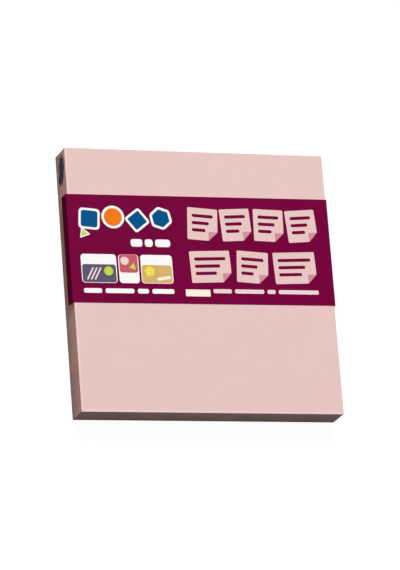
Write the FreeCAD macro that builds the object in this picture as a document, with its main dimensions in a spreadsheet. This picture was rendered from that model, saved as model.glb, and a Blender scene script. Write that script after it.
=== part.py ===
import FreeCAD, Part
import Sketcher
import math
import os

# Sticky note pad lying on its back, front sheet up, with a folded paper label across it.
# X runs across the pad, Y towards the glued edge and Z up through the sheets.
# The origin is the middle of the underside. Lengths are millimetres, angles are degrees.

# Alias, value and meaning of each driving size
SIZES = (
    ("pad_width", 76.0, "across the pad, between its two loose sides"),
    ("pad_length", 76.0, "from the loose front edge to the glued edge"),
    ("sheet_count", 90.0, "notes in the block"),
    ("sheet_thickness", 0.094, "one note"),
    ("loose_edge_bevel", 0.03, "cut edge of a note on its three loose sides"),
    ("glued_edge_bevel", 0.012, "the same where adhesive fills the gap between notes"),
    ("backing_thickness", 0.1, "release-coated sheet under the last note"),
    ("label_length", 31.4, "label along Y"),
    ("label_drop", 13.3, "from the glued edge down to the label, in the middle of the pad"),
    ("label_skew", 0.4, "turn of the label on the pad, counter-clockwise"),
    ("label_thickness", 0.1, "label paper"),
    ("bend_clearance", 0.1, "from the block's side to where the label starts to bend"),
    ("bend_radius", 0.25, "inside of the bend"),
    ("flap_drop", 3.35, "from the front sheet down to a flap's free edge"),
    ("flap_lean", 5.5, "how far a flap springs out from upright"),
)


def fill_sheet(sheet, sizes):
    """Write one row per driving size and return the values by name."""
    values = {}
    for row, (alias, value, meaning) in enumerate(sizes, start=1):
        sheet.set(f"A{row}", meaning)
        sheet.set(f"B{row}", str(value))
        sheet.setAlias(f"B{row}", alias)
        values[alias] = value
    return values


def origin_feature(body, role):
    """One of the body's own origin planes or axes."""
    for feature in body.Origin.OriginFeatures:
        if feature.Role == role:
            return feature
    raise ValueError(f"{body.Name} has no {role}")


def flat_sketch(body, name, role):
    """A sketch on one of the body's own origin planes."""
    sketch = body.newObject("Sketcher::SketchObject", name)
    sketch.AttachmentSupport = [(origin_feature(body, role), "")]
    sketch.MapMode = "FlatFace"
    return sketch


def named_size(sketch, constraint, name, formula):
    """Add a dimension to a sketch under a name and bind it to the sheet."""
    index = sketch.addConstraint(constraint)
    sketch.renameConstraint(index, name)
    sketch.setExpression(f"Constraints.{name}", formula)


def point(x, y):
    return FreeCAD.Vector(x, y, 0)


def page_outline(body, name, width, length):
    """Rectangle centred on the origin: the outline that all the flat sheets share."""
    sketch = flat_sketch(body, name, "XY_Plane")
    x = width / 2
    y = length / 2
    corners = [point(-x, -y), point(x, -y), point(x, y), point(-x, y)]
    for start, end in zip(corners, corners[1:] + corners[:1]):
        sketch.addGeometry(Part.LineSegment(start, end), False)
    for side in range(4):
        sketch.addConstraint(Sketcher.Constraint("Coincident", side, 2, (side + 1) % 4, 1))
    sketch.addConstraint(Sketcher.Constraint("Horizontal", 0))
    sketch.addConstraint(Sketcher.Constraint("Horizontal", 2))
    sketch.addConstraint(Sketcher.Constraint("Vertical", 1))
    sketch.addConstraint(Sketcher.Constraint("Vertical", 3))
    sketch.addConstraint(Sketcher.Constraint("Symmetric", 0, 1, 1, 2, -1, 1))
    named_size(sketch, Sketcher.Constraint("DistanceX", 0, 1, 0, 2, width), "width", "Sizes.pad_width")
    named_size(sketch, Sketcher.Constraint("DistanceY", 1, 1, 1, 2, length), "length", "Sizes.pad_length")
    return sketch


def rim_edges(shape, glued_y, glued):
    """Names of a sheet's rim edges, above and below: those on the glued side, or all the others."""
    same_place = 0.00001
    names = []
    for number, edge in enumerate(shape.Edges, start=1):
        first, last = (vertex.Point for vertex in edge.Vertexes)
        is_flat = abs(first.z - last.z) < same_place
        is_glued = max(abs(first.y - glued_y), abs(last.y - glued_y)) < same_place
        if is_flat and is_glued == glued:
            names.append(f"Edge{number}")
    return names


# Block of notes: one bevelled sheet, stacked. The bevels leave a fine groove between any two notes.

def make_note_block(doc, size):
    body = doc.addObject("PartDesign::Body", "note_block")
    note = body.newObject("PartDesign::Pad", "note")
    note.Profile = page_outline(body, "note_outline", size["pad_width"], size["pad_length"])
    note.setExpression("Length", "Sizes.sheet_thickness")
    doc.recompute()

    glued_y = size["pad_length"] / 2
    loose_bevel = body.newObject("PartDesign::Chamfer", "loose_bevel")
    loose_bevel.Base = (note, rim_edges(note.Shape, glued_y, glued=False))
    loose_bevel.setExpression("Size", "Sizes.loose_edge_bevel")
    doc.recompute()

    glued_bevel = body.newObject("PartDesign::Chamfer", "glued_bevel")
    glued_bevel.Base = (loose_bevel, rim_edges(loose_bevel.Shape, glued_y, glued=True))
    glued_bevel.setExpression("Size", "Sizes.glued_edge_bevel")
    doc.recompute()

    stack = body.newObject("PartDesign::LinearPattern", "stack")
    stack.TransformMode = "Whole shape"
    stack.Direction = (origin_feature(body, "Z_Axis"), [""])
    stack.Mode = "Spacing"
    stack.setExpression("Offset", "Sizes.sheet_thickness")
    stack.setExpression("Occurrences", "Sizes.sheet_count")
    body.Tip = stack
    body.setExpression("Placement.Base.z", "Sizes.backing_thickness")
    return body


# Backing sheet: cut with the notes, so it has their outline.

def make_backing_sheet(doc, size):
    body = doc.addObject("PartDesign::Body", "backing_sheet")
    backing = body.newObject("PartDesign::Pad", "backing")
    backing.Profile = page_outline(body, "backing_outline", size["pad_width"], size["pad_length"])
    backing.setExpression("Length", "Sizes.backing_thickness")
    return body


# Label: a flat strip on the front sheet that bends over each side and ends in a flap.
# Its bends follow the block's sides, and its long edges run a little askew.

def label_section(body, size):
    """Section of the label's right half: panel, bend and flap, along the skewed long edge."""
    sketch = flat_sketch(body, "label_section", "XZ_Plane")
    upright = FreeCAD.Vector(0, 1, 0)
    sketch.AttachmentOffset = FreeCAD.Placement(FreeCAD.Vector(), FreeCAD.Rotation(upright, 1))
    sketch.setExpression("AttachmentOffset.Rotation.Angle", "Sizes.label_skew")

    lean = math.radians(size["flap_lean"])
    thickness = size["label_thickness"]
    inner = size["bend_radius"]
    outer = inner + thickness
    half = (size["pad_width"] / 2 + size["bend_clearance"]) / math.cos(math.radians(size["label_skew"]))
    flap_length = (size["flap_drop"] - inner) / math.cos(lean)

    centre = point(half, -inner)
    outward = point(math.cos(lean), math.sin(lean))
    along_flap = point(math.sin(lean), -math.cos(lean))
    bend_inside = centre + outward * inner
    bend_outside = centre + outward * outer
    end_inside = bend_inside + along_flap * flap_length
    end_outside = bend_outside + along_flap * flap_length
    normal = FreeCAD.Vector(0, 0, 1)

    panel_under = sketch.addGeometry(Part.LineSegment(point(0, 0), point(half, 0)), False)
    inner_circle = Part.Circle(centre, normal, inner)
    inner_arc = sketch.addGeometry(Part.ArcOfCircle(inner_circle, lean, math.pi / 2), False)
    flap_inner = sketch.addGeometry(Part.LineSegment(bend_inside, end_inside), False)
    flap_end = sketch.addGeometry(Part.LineSegment(end_inside, end_outside), False)
    flap_outer = sketch.addGeometry(Part.LineSegment(end_outside, bend_outside), False)
    outer_circle = Part.Circle(centre, normal, outer)
    outer_arc = sketch.addGeometry(Part.ArcOfCircle(outer_circle, lean, math.pi / 2), False)
    panel_top = sketch.addGeometry(Part.LineSegment(point(half, thickness), point(0, thickness)), False)
    panel_middle = sketch.addGeometry(Part.LineSegment(point(0, thickness), point(0, 0)), False)

    # Places on a sketch element: its start, its end and an arc's centre
    start, end, middle = 1, 2, 3
    for constraint in (
        Sketcher.Constraint("Coincident", panel_under, start, -1, 1),
        Sketcher.Constraint("Horizontal", panel_under),
        Sketcher.Constraint("Tangent", panel_under, end, inner_arc, end),
        Sketcher.Constraint("Tangent", inner_arc, start, flap_inner, start),
        Sketcher.Constraint("Coincident", flap_inner, end, flap_end, start),
        Sketcher.Constraint("Perpendicular", flap_inner, flap_end),
        Sketcher.Constraint("Coincident", flap_end, end, flap_outer, start),
        Sketcher.Constraint("Parallel", flap_inner, flap_outer),
        Sketcher.Constraint("Tangent", flap_outer, end, outer_arc, start),
        Sketcher.Constraint("Coincident", outer_arc, middle, inner_arc, middle),
        Sketcher.Constraint("Tangent", outer_arc, end, panel_top, start),
        Sketcher.Constraint("Horizontal", panel_top),
        Sketcher.Constraint("Coincident", panel_top, end, panel_middle, start),
        Sketcher.Constraint("Coincident", panel_middle, end, panel_under, start),
        Sketcher.Constraint("Vertical", panel_middle),
    ):
        sketch.addConstraint(constraint)
    drop = size["flap_drop"]
    named_size(sketch, Sketcher.Constraint("DistanceX", panel_under, start, panel_under, end, half),
               "panel_half", "(Sizes.pad_width / 2 + Sizes.bend_clearance) / cos(Sizes.label_skew)")
    named_size(sketch, Sketcher.Constraint("Radius", inner_arc, inner),
               "bend_radius", "Sizes.bend_radius")
    named_size(sketch, Sketcher.Constraint("DistanceY", panel_middle, end, panel_middle, start, thickness),
               "thickness", "Sizes.label_thickness")
    named_size(sketch, Sketcher.Constraint("DistanceY", flap_inner, end, panel_under, start, drop),
               "flap_drop", "Sizes.flap_drop")
    named_size(sketch, Sketcher.Constraint("Angle", panel_middle, flap_inner, lean),
               "flap_lean", "Sizes.flap_lean")
    return sketch


def make_label(doc, size):
    body = doc.addObject("PartDesign::Body", "label")
    half_strip = body.newObject("PartDesign::Pad", "half_strip")
    half_strip.Profile = label_section(body, size)
    half_strip.UseCustomVector = True
    half_strip.Direction = FreeCAD.Vector(0, 1, 0)
    half_strip.AlongSketchNormal = False
    half_strip.SideType = "Symmetric"
    half_strip.setExpression("Length", "Sizes.label_length")
    doc.recompute()

    # The other half is the same half turned about the pad's upright axis
    strip = body.newObject("PartDesign::PolarPattern", "strip")
    strip.Originals = [half_strip]
    strip.Axis = (origin_feature(body, "Z_Axis"), [""])
    strip.Angle = 360
    strip.Occurrences = 2
    body.Tip = strip
    label_middle = "Sizes.pad_length / 2 - Sizes.label_drop - Sizes.label_length / 2"
    front_sheet = "Sizes.backing_thickness + Sizes.sheet_count * Sizes.sheet_thickness"
    body.setExpression("Placement.Base.y", label_middle)
    body.setExpression("Placement.Base.z", front_sheet)
    return body


def check(doc, bodies):
    """Stop before anything is written if a feature failed or a piece is empty or broken."""
    for item in doc.Objects:
        if {"Invalid", "Error"} & set(item.State):
            raise RuntimeError(f"{item.Name}: {item.State}")
    for body in bodies:
        shape = body.Shape
        if shape.isNull() or not shape.isValid() or len(shape.Solids) != 1:
            raise RuntimeError(f"{body.Label} is not one valid solid")


document = FreeCAD.newDocument("sticky_note_pad")
spreadsheet = document.addObject("Spreadsheet::Sheet", "Sizes")
size = fill_sheet(spreadsheet, SIZES)
document.recompute()

pieces = [
    make_note_block(document, size),
    make_backing_sheet(document, size),
    make_label(document, size),
]
document.recompute()
check(document, pieces)

os.makedirs("parts", exist_ok=True)
for piece in pieces:
    piece.Shape.exportStep(f"parts/{piece.Label}.step")
    box = piece.Shape.BoundBox
    print(piece.Label, f"{piece.Shape.Volume:.2f} mm3", f"x {box.XMin:.3f} {box.XMax:.3f}",
          f"y {box.YMin:.3f} {box.YMax:.3f}", f"z {box.ZMin:.3f} {box.ZMax:.3f}")
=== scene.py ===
import bpy
import math
import random
from mathutils import Matrix, Vector


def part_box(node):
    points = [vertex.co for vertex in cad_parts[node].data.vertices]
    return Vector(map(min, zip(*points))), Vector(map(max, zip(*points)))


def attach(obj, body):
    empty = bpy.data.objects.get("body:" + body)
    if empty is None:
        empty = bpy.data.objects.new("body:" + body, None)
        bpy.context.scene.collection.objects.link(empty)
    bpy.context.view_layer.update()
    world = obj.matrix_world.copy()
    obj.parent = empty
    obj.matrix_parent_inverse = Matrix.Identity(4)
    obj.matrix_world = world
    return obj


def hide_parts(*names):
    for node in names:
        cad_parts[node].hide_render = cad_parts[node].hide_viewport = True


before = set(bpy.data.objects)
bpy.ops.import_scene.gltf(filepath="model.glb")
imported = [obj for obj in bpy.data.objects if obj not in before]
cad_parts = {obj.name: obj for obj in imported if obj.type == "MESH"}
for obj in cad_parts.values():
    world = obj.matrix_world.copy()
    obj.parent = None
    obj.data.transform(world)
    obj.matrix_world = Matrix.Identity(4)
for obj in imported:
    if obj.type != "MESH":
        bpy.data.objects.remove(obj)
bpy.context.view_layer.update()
MM = 0.001


# Backing sheet: the release-coated sheet under the last note, cut with the block and flush with it.
# Off-white paper with a faint waxy coat. It stays as the frame has it and gets its paper here.

def srgb(red, green, blue):
    """A colour on the 0 to 255 scale as linear light."""
    def linear(value):
        share = value / 255
        return share / 12.92 if share <= 0.04045 else ((share + 0.055) / 1.055) ** 2.4
    return (linear(red), linear(green), linear(blue), 1.0)


def node(tree, kind, **settings):
    """A new node with its settings and, by socket name, its input values."""
    made = tree.nodes.new(kind)
    for name, value in settings.items():
        if hasattr(made, name):
            setattr(made, name, value)
        else:
            made.inputs[name.replace("_", " ")].default_value = value
    return made


def maths(tree, operation, *values, clamp=False):
    """A Math node. Each value is a number or the socket that feeds it."""
    made = tree.nodes.new("ShaderNodeMath")
    made.operation = operation
    made.use_clamp = clamp
    for socket, value in zip(made.inputs, values):
        if isinstance(value, (int, float)):
            socket.default_value = value
        else:
            tree.links.new(value, socket)
    return made.outputs[0]


def noise(tree, place, scale, detail, stretch=(1, 1, 1)):
    """Noise in object space, as a value round 0.5. Scale is features to the metre."""
    mapping = tree.nodes.new("ShaderNodeMapping")
    mapping.inputs["Scale"].default_value = stretch
    tree.links.new(place, mapping.inputs["Vector"])
    made = node(tree, "ShaderNodeTexNoise", Scale=scale, Detail=detail)
    tree.links.new(mapping.outputs[0], made.inputs["Vector"])
    return made.outputs["Fac"]


def shaded(tree, colour, factor):
    """A colour made lighter or darker by a factor."""
    made = tree.nodes.new("ShaderNodeVectorMath")
    made.operation = "SCALE"
    tree.links.new(colour, made.inputs[0])
    tree.links.new(factor, made.inputs["Scale"])
    return made.outputs[0]


def make_paper_grain():
    """Group that gives any paper its cloudy formation and its fibres."""
    group = bpy.data.node_groups.new("paper_grain", "ShaderNodeTree")
    for name, kind in (("Colour", "NodeSocketColor"), ("Cloud", "NodeSocketFloat"),
                       ("Fibre", "NodeSocketFloat"), ("Roughness", "NodeSocketFloat")):
        group.interface.new_socket(name=name, in_out="INPUT", socket_type=kind)
    for name, kind in (("Colour", "NodeSocketColor"), ("Roughness", "NodeSocketFloat"),
                       ("Height", "NodeSocketFloat")):
        group.interface.new_socket(name=name, in_out="OUTPUT", socket_type=kind)
    given = group.nodes.new("NodeGroupInput").outputs
    taken = group.nodes.new("NodeGroupOutput").inputs
    place = group.nodes.new("ShaderNodeTexCoord").outputs["Object"]
    cloud = noise(group, place, scale=190, detail=3)
    fibre = noise(group, place, scale=2600, detail=5, stretch=(0.45, 1, 1))
    cloud_part = maths(group, "MULTIPLY", maths(group, "SUBTRACT", cloud, 0.5), given["Cloud"])
    fibre_part = maths(group, "MULTIPLY", maths(group, "SUBTRACT", fibre, 0.5), given["Fibre"])
    factor = maths(group, "ADD", maths(group, "ADD", cloud_part, fibre_part), 1.0)
    group.links.new(shaded(group, given["Colour"], factor), taken["Colour"])
    rough = maths(group, "ADD", given["Roughness"], maths(group, "MULTIPLY", fibre_part, 0.8))
    group.links.new(rough, taken["Roughness"])
    group.links.new(fibre, taken["Height"])
    return group


paper_grain = make_paper_grain()


def new_material(name):
    """An empty material with its shader, and the node tree to fill."""
    material = bpy.data.materials.new(name)
    material.use_nodes = True
    tree = material.node_tree
    return material, tree, tree.nodes["Principled BSDF"]


def grained(tree, shader, colour, cloud, fibre, roughness, bump_height):
    """Feed a shader from the paper grain, with the fibres raised by bump_height metres."""
    grain = tree.nodes.new("ShaderNodeGroup")
    grain.node_tree = paper_grain
    if isinstance(colour, tuple):
        grain.inputs["Colour"].default_value = colour
    else:
        tree.links.new(colour, grain.inputs["Colour"])
    grain.inputs["Cloud"].default_value = cloud
    grain.inputs["Fibre"].default_value = fibre
    grain.inputs["Roughness"].default_value = roughness
    bump = node(tree, "ShaderNodeBump", Distance=bump_height)
    tree.links.new(grain.outputs["Height"], bump.inputs["Height"])
    tree.links.new(grain.outputs["Colour"], shader.inputs["Base Color"])
    tree.links.new(grain.outputs["Roughness"], shader.inputs["Roughness"])
    tree.links.new(bump.outputs[0], shader.inputs["Normal"])


def release_paper():
    material, tree, shader = new_material("release_paper")
    grained(tree, shader, srgb(196, 192, 186), cloud=0.10, fibre=0.08, roughness=0.42, bump_height=0.004 * MM)
    shader.inputs["Coat Weight"].default_value = 0.15
    shader.inputs["Coat Roughness"].default_value = 0.35
    return material


backing_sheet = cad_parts["backing_sheet"]
backing_sheet.data.materials.clear()
backing_sheet.data.materials.append(release_paper())


# Note block: ninety pale pink notes, cut together by a guillotine and held by a strip of adhesive
# along the +Y edge. Each note is its own thin slab, and the cut wanders a little from note to note.

block_low, block_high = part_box("note_block")
NOTE_COUNT = 90
NOTE_THICKNESS = (block_high[2] - block_low[2]) / NOTE_COUNT
PAD_WIDTH = block_high[0] - block_low[0]
PAD_LENGTH = block_high[1] - block_low[1]
FRONT_Z = block_high[2]
RIM_BEVEL = 0.018 * MM
HIGHLIGHT_LINE = 0.4 * MM          # from the left and near cuts to the middle of the painted highlight inside them
HIGHLIGHT_HALF_WIDTH = 0.3 * MM
CUT_WANDER = 0.03 * MM
GROUP_WANDER = 0.05 * MM
GROUP_NOTES = 7              # notes in a row that were trimmed much alike
LEFT_LEAN = 0.18 * MM
LEFT_CUT_DEPTH = 0.3 * MM    # how far in from the left side a cut counts as the left one
# Painted shade on the cut: darker note by note towards the bottom, and the lowest notes darker still, most on
# the left side
CUT_PAINTED_SHADE = 0.867            # painted shade on the lowest note's cut, as a share of the paper's colour
PAINTED_SHADE_LIFT_PER_NOTE = 0.003
SHADED_LOW_NOTES = 30
LOW_PAINTED_SHADE = 0.09
LEFT_LOW_PAINTED_SHADE = 0.16
# Painted reflection: a blotchy blue-grey patch on the left cut, near the glued end
REFLECTION_Y = 32.6 * MM
REFLECTION_HALF_LENGTH = 4.2 * MM
REFLECTION_NOTE = 48
REFLECTION_HALF_NOTES = 26
REFLECTION_SLANT = 1.6 / MM       # notes that the painted reflection climbs for each metre towards the glued end
REFLECTION_SQUARENESS = 2.6       # 2 is an ellipse, more is squarer
REFLECTION_RAGGEDNESS = 2.8
REFLECTION_REACH = 1.3
REFLECTION_SOFTNESS = 0.7
REFLECTION_STRENGTH = 0.95
LIGHT_LEVEL = 1.15           # light on the front sheet, against which the paper colours are set


def paper_colour(red, green, blue):
    """Paper that shows this colour on the 0 to 255 scale under the scene's light."""
    return tuple(value / LIGHT_LEVEL for value in srgb(red, green, blue)[:3]) + (1.0,)


NOTE_PINK = paper_colour(231, 198, 193)
# Painted highlight: the pale line where the front note's left and near rims catch the light
HIGHLIGHT_PINK = paper_colour(241, 213, 208)
CUT_PINK = paper_colour(228, 191, 183)
# colour of the painted reflection on the left cut
REFLECTION_BLUE = srgb(30, 58, 94)


def note_face():
    """Front of a note: matt pink paper, with a painted highlight, a lighter line just inside its left and
    near cuts, where their rims catch the light.
    """
    material, tree, shader = new_material("note_face")
    place = tree.nodes.new("ShaderNodeTexCoord").outputs["Object"]
    apart = tree.nodes.new("ShaderNodeSeparateXYZ")
    tree.links.new(place, apart.inputs[0])
    from_left = maths(tree, "ADD", apart.outputs["X"], PAD_WIDTH / 2)
    from_near = maths(tree, "ADD", apart.outputs["Y"], PAD_LENGTH / 2)
    from_cut = maths(tree, "MINIMUM", from_left, from_near)
    # Painted highlight: a pale line just inside the left and near cuts
    off_line = maths(tree, "ABSOLUTE", maths(tree, "SUBTRACT", from_cut, HIGHLIGHT_LINE))
    painted_highlight = maths(tree, "SUBTRACT", 1.0, maths(tree, "DIVIDE", off_line, HIGHLIGHT_HALF_WIDTH), clamp=True)
    blend = node(tree, "ShaderNodeMix", data_type="RGBA")
    blend.inputs[6].default_value = NOTE_PINK
    blend.inputs[7].default_value = HIGHLIGHT_PINK
    tree.links.new(painted_highlight, blend.inputs[0])
    grained(tree, shader, blend.outputs[2], cloud=0.06, fibre=0.07, roughness=0.86, bump_height=0.006 * MM)
    shader.inputs["Specular IOR Level"].default_value = 0.25
    return material


def note_cut():
    """Cut edges: each note its own tone, faint streaks along the cut and blade marks across it, painted shade
    that darkens the cut towards the bottom and the lowest notes still more, most on the left side, and a
    blotchy blue-grey painted reflection on the left side, near its glued end."""
    material, tree, shader = new_material("note_cut")
    place = tree.nodes.new("ShaderNodeTexCoord").outputs["Object"]
    apart = tree.nodes.new("ShaderNodeSeparateXYZ")
    tree.links.new(place, apart.inputs[0])
    upward = maths(tree, "DIVIDE", maths(tree, "SUBTRACT", apart.outputs["Z"], block_low[2]), NOTE_THICKNESS)
    each_note = node(tree, "ShaderNodeTexWhiteNoise", noise_dimensions="1D")
    tree.links.new(maths(tree, "FLOOR", upward), each_note.inputs["W"])
    streak = noise(tree, place, scale=22, detail=3, stretch=(0.5, 0.5, 90))
    blade_mark = noise(tree, place, scale=240, detail=4, stretch=(1, 1, 0.25))
    mottle = noise(tree, place, scale=110, detail=2, stretch=(1, 1, 0.8))
    # Painted shade: the cut darker towards the bottom of the block
    shade = maths(tree, "ADD", maths(tree, "MULTIPLY", upward, PAINTED_SHADE_LIFT_PER_NOTE), CUT_PAINTED_SHADE)
    note_tone = each_note.outputs["Value"]
    for value, strength in ((note_tone, 0.12), (streak, 0.26), (blade_mark, 0.32), (mottle, 0.36)):
        uneven = maths(tree, "SUBTRACT", value, 0.5)
        shade = maths(tree, "ADD", shade, maths(tree, "MULTIPLY", uneven, strength))
    on_left = maths(tree, "LESS_THAN", apart.outputs["X"], LEFT_CUT_DEPTH - PAD_WIDTH / 2)
    # Painted shade: the lowest notes darker still, most on the left side
    lowest = maths(tree, "DIVIDE", maths(tree, "SUBTRACT", SHADED_LOW_NOTES, upward), SHADED_LOW_NOTES, clamp=True)
    low_shade = maths(tree, "ADD", maths(tree, "MULTIPLY", on_left, LEFT_LOW_PAINTED_SHADE), LOW_PAINTED_SHADE)
    shade = maths(tree, "SUBTRACT", shade, maths(tree, "MULTIPLY", lowest, low_shade))

    # Painted reflection: a blotchy blue-grey patch on the left cut, near the glued end
    from_middle = maths(tree, "SUBTRACT", apart.outputs["Y"], REFLECTION_Y)
    along = maths(tree, "DIVIDE", from_middle, REFLECTION_HALF_LENGTH)
    middle_note = maths(tree, "ADD", maths(tree, "MULTIPLY", from_middle, REFLECTION_SLANT), REFLECTION_NOTE)
    above = maths(tree, "DIVIDE", maths(tree, "SUBTRACT", upward, middle_note), REFLECTION_HALF_NOTES)
    out = maths(tree, "ADD", maths(tree, "POWER", maths(tree, "ABSOLUTE", along), REFLECTION_SQUARENESS),
                maths(tree, "POWER", maths(tree, "ABSOLUTE", above), REFLECTION_SQUARENESS))
    blotch = noise(tree, place, scale=420, detail=3, stretch=(1, 1, 0.8))
    ragged = maths(tree, "MULTIPLY", maths(tree, "SUBTRACT", blotch, 0.5), REFLECTION_RAGGEDNESS)
    inside = maths(tree, "SUBTRACT", REFLECTION_REACH, maths(tree, "ADD", out, ragged))
    painted_reflection = maths(tree, "DIVIDE", inside, REFLECTION_SOFTNESS, clamp=True)
    painted_reflection_on_left = maths(tree, "MULTIPLY", painted_reflection, on_left)
    blend = node(tree, "ShaderNodeMix", data_type="RGBA")
    blend.inputs[6].default_value = CUT_PINK
    blend.inputs[7].default_value = REFLECTION_BLUE
    tree.links.new(maths(tree, "MULTIPLY", painted_reflection_on_left, REFLECTION_STRENGTH), blend.inputs[0])
    colour = shaded(tree, blend.outputs[2], shade)
    grained(tree, shader, colour, cloud=0.08, fibre=0.16, roughness=0.92, bump_height=0.01 * MM)
    shader.inputs["Specular IOR Level"].default_value = 0.2
    return material


def select_only(piece):
    bpy.ops.object.select_all(action="DESELECT")
    piece.select_set(True)
    bpy.context.view_layer.objects.active = piece


def settle(piece):
    """Put a piece's place, turn and size into its mesh."""
    select_only(piece)
    bpy.ops.object.transform_apply(location=True, rotation=True, scale=True)


def join(pieces, name):
    """Join pieces into one with this name."""
    bpy.ops.object.select_all(action="DESELECT")
    for piece in pieces:
        piece.select_set(True)
    bpy.context.view_layer.objects.active = pieces[0]
    if len(pieces) > 1:
        bpy.ops.object.join()
    whole = bpy.context.view_layer.objects.active
    whole.name = name
    whole.data.name = name
    return whole


def first_note(face, cut):
    """The lowest note: a slab with bevelled rims, its flat sides in one material and its cut in another."""
    bpy.ops.object.select_all(action="DESELECT")
    middle = (0, (block_low[1] + block_high[1]) / 2, block_low[2] + NOTE_THICKNESS / 2)
    bpy.ops.mesh.primitive_cube_add(size=1, location=middle)
    note = bpy.context.object
    note.scale = (PAD_WIDTH, PAD_LENGTH, NOTE_THICKNESS)
    settle(note)
    bpy.ops.object.mode_set(mode="EDIT")
    bpy.ops.mesh.select_all(action="DESELECT")
    bpy.ops.object.mode_set(mode="OBJECT")
    points = note.data.vertices
    for edge in note.data.edges:
        start, end = (points[number].co for number in edge.vertices)
        edge.select = abs(start.z - end.z) < NOTE_THICKNESS / 2
    bpy.ops.object.mode_set(mode="EDIT")
    bpy.ops.mesh.bevel(offset=RIM_BEVEL, segments=1, affect="EDGES")
    bpy.ops.object.mode_set(mode="OBJECT")
    note.data.materials.append(face)
    note.data.materials.append(cut)
    for side in note.data.polygons:
        is_flat = abs(side.normal.z) > 0.99
        side.material_index = 0 if is_flat else 1
    return note


def stack_notes(note):
    """Copy the first note up the block, each copy trimmed by a little less or more on every side. The
    left cut leans: the lower a note lies, the further left it reaches."""
    draw = random.Random(11)
    notes = [note]
    for _ in range(NOTE_COUNT - 1):
        copied = note.copy()
        copied.data = note.data.copy()
        bpy.context.collection.objects.link(copied)
        notes.append(copied)
    for level, copied in enumerate(notes):
        if level % GROUP_NOTES == 0:
            group_trim = [draw.random() * GROUP_WANDER for _ in range(4)]
        is_front = level == NOTE_COUNT - 1
        trims = [0.0 if is_front else trim + draw.random() * CUT_WANDER for trim in group_trim]
        left, right, near, far = trims
        left -= LEFT_LEAN * (1 - level / (NOTE_COUNT - 1))
        size = Matrix.Diagonal((1 - (left + right) / PAD_WIDTH, 1 - (near + far) / PAD_LENGTH, 1, 1))
        shift = Matrix.Translation(((left - right) / 2, (near - far) / 2, level * NOTE_THICKNESS))
        copied.data.transform(shift @ size)
    return join(notes, "note_stack")


note_stack = stack_notes(first_note(note_face(), note_cut()))
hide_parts("note_block")
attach(note_stack, "root")


# Label: one strip of coated paper, printed dark red on its outside and left white inside. It lies on
# the front note, folds softly over both sides of the block, and its ends spring out a little.

LABEL_LENGTH = 31.4 * MM
LABEL_SKEW = math.radians(0.4)
PRINTED_THICKNESS = 0.1 * MM
INK_LAYER = 0.01 * MM
INK_LAYERS = 3
LABEL_THICKNESS = PRINTED_THICKNESS - INK_LAYERS * INK_LAYER
UNCUT_LENGTH = PAD_WIDTH * 1.2
BEND_CLEARANCE = 0.1 * MM
BEND_START = PAD_WIDTH / 2 + BEND_CLEARANCE
BEND_STEPS = 10
BEND_RADIUS = 0.25 * MM
FLAP_LEAN = math.radians(5.5)
FLAP_DROP = 3.35 * MM
SAME_PLACE = 0.01 * MM
WELD_REACH = 0.001 * MM
LABEL_RED = paper_colour(117, 0, 59)
label_low, label_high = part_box("label")
LABEL_Y = (label_low[1] + label_high[1]) / 2


def printed_paper(name, ink, cloud, fibre):
    """Coated paper under an ink, with a low gloss."""
    material, tree, shader = new_material(name)
    grained(tree, shader, ink, cloud=cloud, fibre=fibre, roughness=0.32, bump_height=0.002 * MM)
    shader.inputs["Specular IOR Level"].default_value = 0.10
    return material


def bare_white():
    material, tree, shader = new_material("bare_white")
    grained(tree, shader, srgb(222, 216, 212), cloud=0.05, fibre=0.10, roughness=0.8, bump_height=0.004 * MM)
    return material


def select_edges(piece, is_wanted):
    """Select, in edit mode, the edges whose two ends both pass the test."""
    bpy.ops.object.mode_set(mode="EDIT")
    bpy.ops.mesh.select_all(action="DESELECT")
    bpy.ops.mesh.select_mode(type="EDGE")
    bpy.ops.object.mode_set(mode="OBJECT")
    points = piece.data.vertices
    for edge in piece.data.edges:
        edge.select = all(is_wanted(points[number].co) for number in edge.vertices)
    bpy.ops.object.mode_set(mode="EDIT")


def fold_end(strip, side):
    """Bend one end of the strip down round the block's side, and draw the flap out of the bend."""
    edge_x = side * BEND_START
    select_edges(strip, lambda point: side * point.x > BEND_START - SAME_PLACE)
    turn = math.pi / 2 - FLAP_LEAN
    bpy.ops.mesh.spin(steps=BEND_STEPS, angle=-side * turn, center=(edge_x, 0, FRONT_Z - BEND_RADIUS),
                      axis=(0, 1, 0))
    flap = (FLAP_DROP - BEND_RADIUS) / math.cos(FLAP_LEAN)
    along = Vector((side * math.sin(FLAP_LEAN), 0, -math.cos(FLAP_LEAN))) * flap
    bpy.ops.mesh.extrude_edges_move(TRANSFORM_OT_translate={"value": along})
    bpy.ops.object.mode_set(mode="OBJECT")


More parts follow.
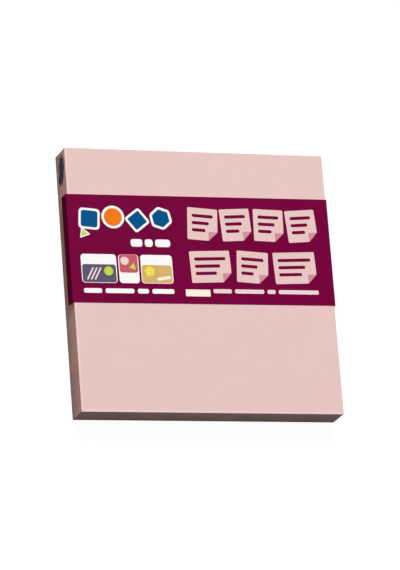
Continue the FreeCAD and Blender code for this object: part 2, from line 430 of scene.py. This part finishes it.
def make_label():
    """Panel cut square to the block's sides from an askew strip, folded at both ends and thickened."""
    bpy.ops.object.select_all(action="DESELECT")
    panel_z = FRONT_Z + LABEL_THICKNESS / 2
    bpy.ops.mesh.primitive_plane_add(size=1, location=(0, LABEL_Y, panel_z))
    strip = bpy.context.object
    strip.scale = (UNCUT_LENGTH, LABEL_LENGTH, 1)
    strip.rotation_euler.z = LABEL_SKEW
    settle(strip)
    for side in (-1, 1):
        bpy.ops.object.mode_set(mode="EDIT")
        bpy.ops.mesh.select_all(action="SELECT")
        bpy.ops.mesh.bisect(plane_co=(side * BEND_START, 0, 0), plane_no=(side, 0, 0), clear_outer=True)
        bpy.ops.object.mode_set(mode="OBJECT")
    for side in (-1, 1):
        fold_end(strip, side)
    bpy.ops.object.mode_set(mode="EDIT")
    bpy.ops.mesh.select_all(action="SELECT")
    bpy.ops.mesh.remove_doubles(threshold=WELD_REACH)
    bpy.ops.mesh.normals_make_consistent(inside=False)
    bpy.ops.object.mode_set(mode="OBJECT")
    strip.data.materials.append(printed_paper("printed_red", LABEL_RED, cloud=0.12, fibre=0.10))
    strip.data.materials.append(bare_white())
    wall = strip.modifiers.new("wall", "SOLIDIFY")
    wall.thickness = LABEL_THICKNESS
    wall.offset = 0
    wall.material_offset = 1
    wall.material_offset_rim = 1
    select_only(strip)
    bpy.ops.object.modifier_apply(modifier="wall")
    bpy.ops.object.shade_smooth_by_angle(angle=math.radians(35))
    strip.name = "label_strip"
    strip.data.name = "label_strip"
    return strip


label_strip = make_label()
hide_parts("label")
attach(label_strip, "root")


# Print on the label: flat inks in the pad's pink, white and a few bright colours, each laid on the
# one below it. All of it is plain shapes: badges, tiles and bars, and two rows of large pink notes.

INKS = {
    "pink": (232, 199, 194), "fold_pink": (207, 143, 152), "red": (117, 0, 59), "white": (250, 249, 247),
    "blue": (0, 84, 136), "orange": (241, 122, 20), "lime": (193, 214, 66), "rose": (198, 92, 104),
    "slate": (92, 86, 110), "ochre": (216, 178, 108), "yellow": (240, 224, 84), "cream": (252, 240, 222),
    "blush": (238, 214, 212),
}
INK_DEPTH = 1.4 * INK_LAYER    # an ink reaches a little into the one below it

# Sizes and places of the print are millimetres
NOTE_FOLD = 2.6
FIRST_LINE_DROP = 2.3
LINE_SPACING = 2.1
LINE_INSET = 1.3
LINE_THICKNESS = 0.95
BAR_ROUNDING = 0.35            # a bar's corner radius, as a share of its thickness
TILE_MIDDLE = -5.8
TILE_HEIGHT = 8.3
FIELD_HEIGHT = 5.2
FIELD_MARGINS = 0.5

ink_materials = {name: printed_paper("ink_" + name, paper_colour(*colour), cloud=0.08, fibre=0.08)
                 for name, colour in INKS.items()}
printed = []


def lay_ink(shape, ink, place, turn, layer):
    """Give a flat outline its ink and its thickness, and put it at its place on the label, in mm."""
    select_only(shape)
    bpy.ops.object.mode_set(mode="EDIT")
    bpy.ops.mesh.select_all(action="SELECT")
    bpy.ops.mesh.extrude_region_move(TRANSFORM_OT_translate={"value": (0, 0, -INK_DEPTH)})
    bpy.ops.mesh.select_all(action="SELECT")
    bpy.ops.mesh.normals_make_consistent(inside=False)
    bpy.ops.object.mode_set(mode="OBJECT")
    shape.data.materials.append(ink_materials[ink])
    shape.rotation_euler.z = math.radians(turn)
    shape.location = (place[0] * MM, place[1] * MM, layer * INK_LAYER)
    settle(shape)
    printed.append(shape)


def block(ink, place, size, corner=0.0, turn=0.0, layer=1, cut=0.0):
    """A rectangle with rounded corners, its lower right corner cut off slantwise where cut is given."""
    bpy.ops.object.select_all(action="DESELECT")
    bpy.ops.mesh.primitive_plane_add(size=1)
    shape = bpy.context.object
    shape.scale = (size[0] * MM, size[1] * MM, 1)
    settle(shape)
    bpy.ops.object.mode_set(mode="EDIT")
    bpy.ops.mesh.select_all(action="SELECT")
    if cut:
        bpy.ops.mesh.bisect(plane_co=((size[0] / 2 - cut) * MM, -size[1] / 2 * MM, 0), plane_no=(1, -1, 0),
                            clear_outer=True)
        bpy.ops.mesh.select_all(action="SELECT")
    if corner:
        bpy.ops.mesh.bevel(offset=corner * MM, segments=4, affect="VERTICES")
    bpy.ops.object.mode_set(mode="OBJECT")
    lay_ink(shape, ink, place, turn, layer)


def disc(ink, place, radius, sides=40, turn=0.0, layer=1, corner=0.0):
    """A disc, or with few sides a polygon."""
    bpy.ops.object.select_all(action="DESELECT")
    bpy.ops.mesh.primitive_circle_add(vertices=sides, radius=radius * MM, fill_type="NGON")
    shape = bpy.context.object
    if corner:
        bpy.ops.object.mode_set(mode="EDIT")
        bpy.ops.mesh.select_all(action="SELECT")
        bpy.ops.mesh.bevel(offset=corner * MM, segments=4, affect="VERTICES")
        bpy.ops.object.mode_set(mode="OBJECT")
    lay_ink(shape, ink, place, turn, layer)


def turned(place, offset, turn):
    """The point at an offset from a place, in a shape turned about that place."""
    angle = math.radians(turn)
    return (place[0] + offset[0] * math.cos(angle) - offset[1] * math.sin(angle),
            place[1] + offset[0] * math.sin(angle) + offset[1] * math.cos(angle))


def note_shape(place, size, turn, lengths):
    """A large pink note with a folded corner and three bars that start level."""
    block("pink", place, size, corner=0.35, turn=turn, cut=NOTE_FOLD)
    fold_middle = turned(place, (size[0] / 2 - NOTE_FOLD / 2, -size[1] / 2 + NOTE_FOLD / 2), turn)
    block("fold_pink", fold_middle, (NOTE_FOLD, NOTE_FOLD), corner=0.15, turn=turn, layer=2, cut=NOTE_FOLD)
    for number, length in enumerate(lengths):
        across = size[1] / 2 - FIRST_LINE_DROP - LINE_SPACING * number
        along = -size[0] / 2 + LINE_INSET + length / 2
        line_middle = turned(place, (along, across), turn)
        block("red", line_middle, (length, LINE_THICKNESS), corner=0.4, turn=turn, layer=2)


def bars(ink, start, lengths, gap, thickness):
    """A row of rounded bars with even gaps, from its left end."""
    u, v = start
    for length in lengths:
        block(ink, (u + length / 2, v), (length, thickness), corner=thickness * BAR_ROUNDING)
        u += length + gap


def print_big_notes():
    for u, turn in ((0.8, -4), (10.6, 3), (20.3, -2), (30.1, 4)):
        note_shape((u, 7.6), (8.8, 9.4), turn, (6.2, 5.0, 4.0))
    for u, width, turn in ((2.2, 11.8, 2), (14.5, 9.2, -4), (27.1, 12.4, 2)):
        note_shape((u, -4.8), (width, 9.2), turn, (width - 2.6, width - 4.4, width - 5.6))


def print_badges():
    block("white", (-32.1, 8.6), (6.1, 6.1), corner=1.1, turn=-5)
    block("blue", (-32.1, 8.6), (4.8, 4.8), corner=0.7, turn=-5, layer=2)
    disc("white", (-25.2, 9.2), 3.3)
    disc("orange", (-25.2, 9.2), 2.6, layer=2)
    block("white", (-18.2, 8.4), (5.4, 5.4), corner=0.8, turn=38)
    block("blue", (-18.2, 8.4), (4.1, 4.1), corner=0.4, turn=38, layer=2)
    disc("white", (-11.3, 9.1), 3.5, sides=6, turn=12, corner=0.6)
    disc("blue", (-11.3, 9.1), 2.7, sides=6, turn=12, corner=0.4, layer=2)
    disc("white", (-33.9, 4.4), 1.9, sides=3, turn=20, corner=0.3, layer=2)
    disc("lime", (-33.9, 4.4), 1.25, sides=3, turn=20, corner=0.15, layer=3)


def print_tiles():
    tiles = ((-30.3, 10.2, "slate", -7.2), (-21.7, 5.8, "rose", -4.3), (-13.6, 9.2, "ochre", -7.2))
    for u, width, field, v in tiles:
        block("white", (u, TILE_MIDDLE), (width, TILE_HEIGHT), corner=0.9)
        block(field, (u, v), (width - FIELD_MARGINS, FIELD_HEIGHT), corner=0.7, layer=2)
    for step in range(3):
        block("blush", (-32.9 + 1.1 * step, -7.3), (0.45, 4.0), corner=0.2, turn=-28, layer=3)
    disc("lime", (-27.6, -6.5), 1.3, layer=3)
    disc("blush", (-22.8, -3.5), 1.2, layer=3)
    disc("lime", (-20.5, -5.2), 1.2, sides=3, turn=-15, corner=0.15, layer=3)
    disc("yellow", (-15.7, -6.5), 1.6, sides=5, turn=8, corner=0.25, layer=3)
    block("cream", (-11.7, -8.4), (4.0, 0.9), corner=0.4, turn=10, layer=3)


def make_print():
    print_big_notes()
    print_badges()
    print_tiles()
    bars("white", (-20.6, 1.8), (3.4, 2.3, 4.4), gap=0.7, thickness=2.2)
    bars("white", (-35.1, -12.2), (5.2, 8.3, 3.2, 6.4), gap=1.0, thickness=1.35)
    bars("blush", (2.4, -11.9), (5.4, 8.6, 2.4, 11.9), gap=0.95, thickness=1.2)
    block("cream", (-2.1, -12.5), (7.2, 2.0), corner=0.15)
    sheet = join(printed, "label_print")
    sheet.location = (0, LABEL_Y, FRONT_Z + LABEL_THICKNESS)
    sheet.rotation_euler.z = LABEL_SKEW
    settle(sheet)
    # Extruding gives points and faces another order each run, so the whole print is put in one order
    bpy.ops.object.mode_set(mode="EDIT")
    bpy.ops.mesh.select_all(action="SELECT")
    bpy.ops.mesh.sort_elements(type="CURSOR_DISTANCE", elements={"VERT", "EDGE", "FACE"})
    bpy.ops.object.mode_set(mode="OBJECT")
    return sheet


label_print = make_print()
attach(label_print, "root")


# Floor, lights and camera: a pale table, one large soft light beyond the pad's glued edge, a weak warm
# one on its left, a weak white one on its right, and a long lens that looks down past the near left
# corner. The large light's reflection is a weaker light of its own, so that the print keeps its depth.

FLOOR_GREY = 0.20
FLOOR_GLOW = 0.94
REFLECTED_FILL = 0.08    # share of the even light that shows in reflections


def add_floor():
    bpy.ops.object.select_all(action="DESELECT")
    bpy.ops.mesh.primitive_circle_add(vertices=96, radius=4, fill_type="NGON", location=(0, 0, 0))
    floor = bpy.context.object
    floor.name = "floor"
    material, _, shader = new_material("pale_floor")
    shader.inputs["Base Color"].default_value = (FLOOR_GREY, FLOOR_GREY, FLOOR_GREY, 1)
    shader.inputs["Roughness"].default_value = 0.9
    shader.inputs["Specular IOR Level"].default_value = 0.0
    shader.inputs["Emission Color"].default_value = (1, 1, 1, 1)
    shader.inputs["Emission Strength"].default_value = FLOOR_GLOW
    floor.data.materials.append(material)
    floor.visible_diffuse = False
    floor.visible_glossy = False


def add_light(name, place, size, power, colour=(1, 1, 1), lights=True, reflects=True):
    """A square soft light that faces the pad, for its lighting, its reflections or both."""
    lamp = bpy.data.lights.new(name, "AREA")
    lamp.shape = "SQUARE"
    lamp.size = size
    lamp.energy = power
    lamp.color = colour
    light = bpy.data.objects.new(name, lamp)
    bpy.context.collection.objects.link(light)
    light.location = place
    light.rotation_euler = (-Vector(place)).to_track_quat("-Z", "Y").to_euler()
    light.visible_diffuse = lights
    light.visible_glossy = reflects


def add_world(fill, backdrop):
    """Even dim light all round, dimmer in reflections, with a pale backdrop for the camera."""
    world = bpy.data.worlds.new("studio")
    bpy.context.scene.world = world
    world.use_nodes = True
    tree = world.node_tree
    light_path = tree.nodes.new("ShaderNodeLightPath")
    shown = tree.nodes["Background"]
    shown.inputs["Color"].default_value = fill + (1,)
    in_reflections = tuple(REFLECTED_FILL * value for value in fill)
    for ray, colour in (("Is Glossy Ray", in_reflections), ("Is Camera Ray", (backdrop,) * 3)):
        other = tree.nodes.new("ShaderNodeBackground")
        other.inputs["Color"].default_value = colour + (1,)
        mix = tree.nodes.new("ShaderNodeMixShader")
        tree.links.new(light_path.outputs[ray], mix.inputs[0])
        tree.links.new(shown.outputs[0], mix.inputs[1])
        tree.links.new(other.outputs[0], mix.inputs[2])
        shown = mix
    tree.links.new(shown.outputs[0], tree.nodes["World Output"].inputs["Surface"])


def add_camera(aim, distance, azimuth, elevation, roll, focal_pixels, image_height):
    """A camera on a sphere round the aim, rolled about its line of sight."""
    lens = bpy.data.cameras.new("camera")
    lens.sensor_fit = "VERTICAL"
    lens.sensor_height = 36
    lens.lens = focal_pixels / image_height * lens.sensor_height
    lens.clip_start = 0.05
    lens.clip_end = 20
    camera = bpy.data.objects.new("camera", lens)
    bpy.context.collection.objects.link(camera)
    flat = math.cos(elevation)
    outward = Vector((math.sin(azimuth) * flat, -math.cos(azimuth) * flat, math.sin(elevation)))
    camera.location = Vector(aim) + outward * distance
    level = outward.to_track_quat("Z", "Y").to_matrix().to_4x4()
    camera.rotation_euler = (level @ Matrix.Rotation(roll, 4, "Z")).to_euler()
    bpy.context.scene.camera = camera


add_floor()
add_light("key", (0.11, 3.0, 3.2), size=2.0, power=266, reflects=False)
add_light("key_sheen", (0.11, 3.0, 3.2), size=2.4, power=60, lights=False)
add_light("left_fill", (-2.6, 0.6, 0.35), size=0.8, power=7.8, colour=(1, 0.58, 0.2))
add_light("right_fill", (2.6, 1.2, 0.5), size=0.8, power=12)
add_world(fill=(0.169, 0.171, 0.184), backdrop=0.95)
add_camera(aim=(-1.29 * MM, -1.16 * MM, FRONT_Z), distance=1035.3 * MM, azimuth=math.radians(-47.18),
           elevation=math.radians(64.88), roll=math.radians(45.59), focal_pixels=3729, image_height=570)
bpy.context.scene.view_settings.view_transform = "Standard"
